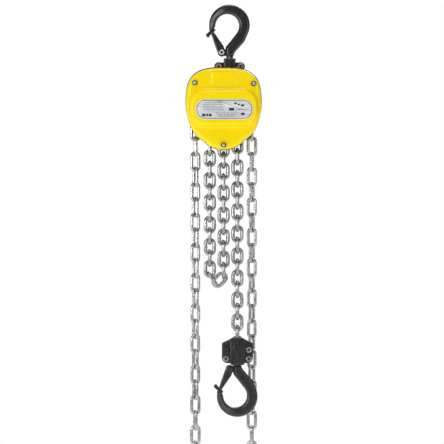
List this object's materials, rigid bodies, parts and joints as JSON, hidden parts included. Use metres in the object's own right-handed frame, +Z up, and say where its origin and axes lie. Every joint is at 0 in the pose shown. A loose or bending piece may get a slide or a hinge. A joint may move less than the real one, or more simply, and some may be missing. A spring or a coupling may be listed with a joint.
{
  "type": "hand chain hoist",
  "caption": "Hand chain hoist with a yellow rounded body, swivel top and bottom hooks with sprung latches, a load chain with a slack fall and an endless hand chain.",
  "frame": {"origin": "saddle of the top hook, where it hangs on its support", "axes": "+Z up along the hanging load line, -Y towards the name plate, +X to the right seen from the name plate"},
  "size_m": [0.124, 0.1109, 0.8012],
  "materials": {
    "yellow_paint": "gloss powder coat",
    "black_forging": "black oxide, satin",
    "black_plate": "black, satin",
    "zinc_chain": "bright zinc plated",
    "zinc_fastener": "zinc plated",
    "machined_steel": "machined",
    "silver_label": "printed satin plate",
    "brake_lining": "friction lining"
  },
  "bodies": {
    "top_hook": {"top_hook": "black_forging", "top_hook_collar": "machined_steel", "top_latch_pin": "zinc_fastener", "top_latch_spring": "machined_steel"},
    "top_latch": {"top_latch": "black_forging"},
    "yoke": {"yoke_front_half": "black_forging", "yoke_rear_half": "black_forging", "yoke_bolt_left": "zinc_fastener", "yoke_bolt_right": "zinc_fastener"},
    "hoist_body": {"suspension_pin": "machined_steel", "gear_side_plate": "black_plate", "wheel_side_plate": "black_plate", "stay_bolt_left": "zinc_fastener", "stay_bolt_right": "zinc_fastener", "stay_bolt_bottom": "zinc_fastener", "front_nut_left": "zinc_fastener", "front_nut_right": "zinc_fastener", "front_nut_bottom": "zinc_fastener", "gear_case": "machined_steel", "gear_cover": "yellow_paint", "name_plate": "silver_label", "wheel_cover": "yellow_paint", "sheave_bearing_front": "machined_steel", "sheave_bearing_rear": "machined_steel", "chain_roller_left": "machined_steel", "chain_roller_right": "machined_steel", "chain_stripper": "machined_steel", "ratchet_disc": "machined_steel", "pawl_pin_left": "machined_steel", "pawl_pin_right": "machined_steel", "spacer_left": "machined_steel", "spacer_right": "machined_steel", "load_chain_slack": "zinc_chain", "load_chain_over_sheave": "zinc_chain", "hand_chain": "zinc_chain"},
    "drive": {"drive_shaft": "machined_steel", "brake_hub": "machined_steel", "friction_disc_inner": "brake_lining", "friction_disc_outer": "brake_lining", "hand_wheel": "black_plate", "hand_wheel_nut": "zinc_fastener"},
    "cluster_left": {"cluster_gear_left": "machined_steel"},
    "cluster_right": {"cluster_gear_right": "machined_steel"},
    "sheave": {"load_sheave": "machined_steel", "load_gear": "machined_steel"},
    "pawl_left": {"pawl_left": "machined_steel"},
    "pawl_right": {"pawl_right": "machined_steel"},
    "load_block": {"block_front_half": "black_forging", "block_rear_half": "black_forging", "chain_pin": "black_forging", "block_screw_upper_left": "zinc_fastener", "block_screw_upper_right": "zinc_fastener", "block_screw_lower_left": "zinc_fastener", "block_screw_lower_right": "zinc_fastener", "load_chain_lift": "zinc_chain"},
    "load_hook": {"load_hook": "black_forging", "load_hook_collar": "machined_steel", "load_latch_pin": "zinc_fastener", "load_latch_spring": "machined_steel"},
    "load_latch": {"load_latch": "black_forging"}
  },
  "joints": [
    {"name": "top_latch_hinge", "type": "hinge", "parent": "top_hook", "child": "top_latch", "pos_m": [-0.0091, 0, -0.0628], "axis": [0, 1, 0], "range_deg": [0, 38], "stiffness_Nm_per_rad": 0.02, "springref_deg": -57.3},
    {"name": "hook_swivel", "type": "hinge", "parent": "top_hook", "child": "yoke", "pos_m": [0.0038, 0, -0.08], "axis": [0, 0, 1], "continuous": true},
    {"name": "body_swing", "type": "hinge", "parent": "yoke", "child": "hoist_body", "pos_m": [0.0038, 0, -0.1042], "axis": [0, 1, 0], "range_deg": [-12, 12]},
    {"name": "hand_wheel_spin", "type": "hinge", "parent": "hoist_body", "child": "drive", "pos_m": [-0.006, 0, -0.1522], "axis": [0, -1, 0], "range_deg": [-1890, 1260]},
    {"name": "cluster_left_spin", "type": "hinge", "parent": "hoist_body", "child": "cluster_left", "pos_m": [-0.031, 0, -0.1522], "axis": [0, -1, 0], "range_deg": [-320, 480]},
    {"name": "cluster_right_spin", "type": "hinge", "parent": "hoist_body", "child": "cluster_right", "pos_m": [0.019, 0, -0.1522], "axis": [0, -1, 0], "range_deg": [-320, 480]},
    {"name": "sheave_spin", "type": "hinge", "parent": "hoist_body", "child": "sheave", "pos_m": [-0.006, 0, -0.1522], "axis": [0, -1, 0], "range_deg": [-136, 91]},
    {"name": "hook_travel", "type": "slide", "parent": "hoist_body", "child": "load_block", "axis": [0, 0, 1], "range_m": [-0.0545, 0.0365], "deforming": ["load_chain_over_sheave"]},
    {"name": "pawl_left_hinge", "type": "hinge", "parent": "hoist_body", "child": "pawl_left", "pos_m": [-0.039, 0, -0.1362], "axis": [0, 1, 0], "range_deg": [0, 15], "stiffness_Nm_per_rad": 0.01, "springref_deg": -34.38},
    {"name": "pawl_right_hinge", "type": "hinge", "parent": "hoist_body", "child": "pawl_right", "pos_m": [0.027, 0, -0.1682], "axis": [0, 1, 0], "range_deg": [0, 15], "stiffness_Nm_per_rad": 0.01, "springref_deg": -34.38},
    {"name": "load_hook_swivel", "type": "hinge", "parent": "load_block", "child": "load_hook", "pos_m": [0.0165, 0, -0.5672], "axis": [0, 0, 1], "continuous": true},
    {"name": "load_latch_hinge", "type": "hinge", "parent": "load_hook", "child": "load_latch", "pos_m": [0.0036, 0, -0.5784], "axis": [0, -1, 0], "range_deg": [0, 38], "stiffness_Nm_per_rad": 0.02, "springref_deg": -57.3}
  ],
  "couplings": [
    {"joint": "cluster_left_spin", "follows": "hand_wheel_spin", "ratio": -0.25},
    {"joint": "cluster_right_spin", "follows": "hand_wheel_spin", "ratio": -0.25},
    {"joint": "sheave_spin", "follows": "hand_wheel_spin", "ratio": 0.071429},
    {"joint": "hook_travel", "follows": "hand_wheel_spin", "m_per_rad": 0.001637}
  ]
}
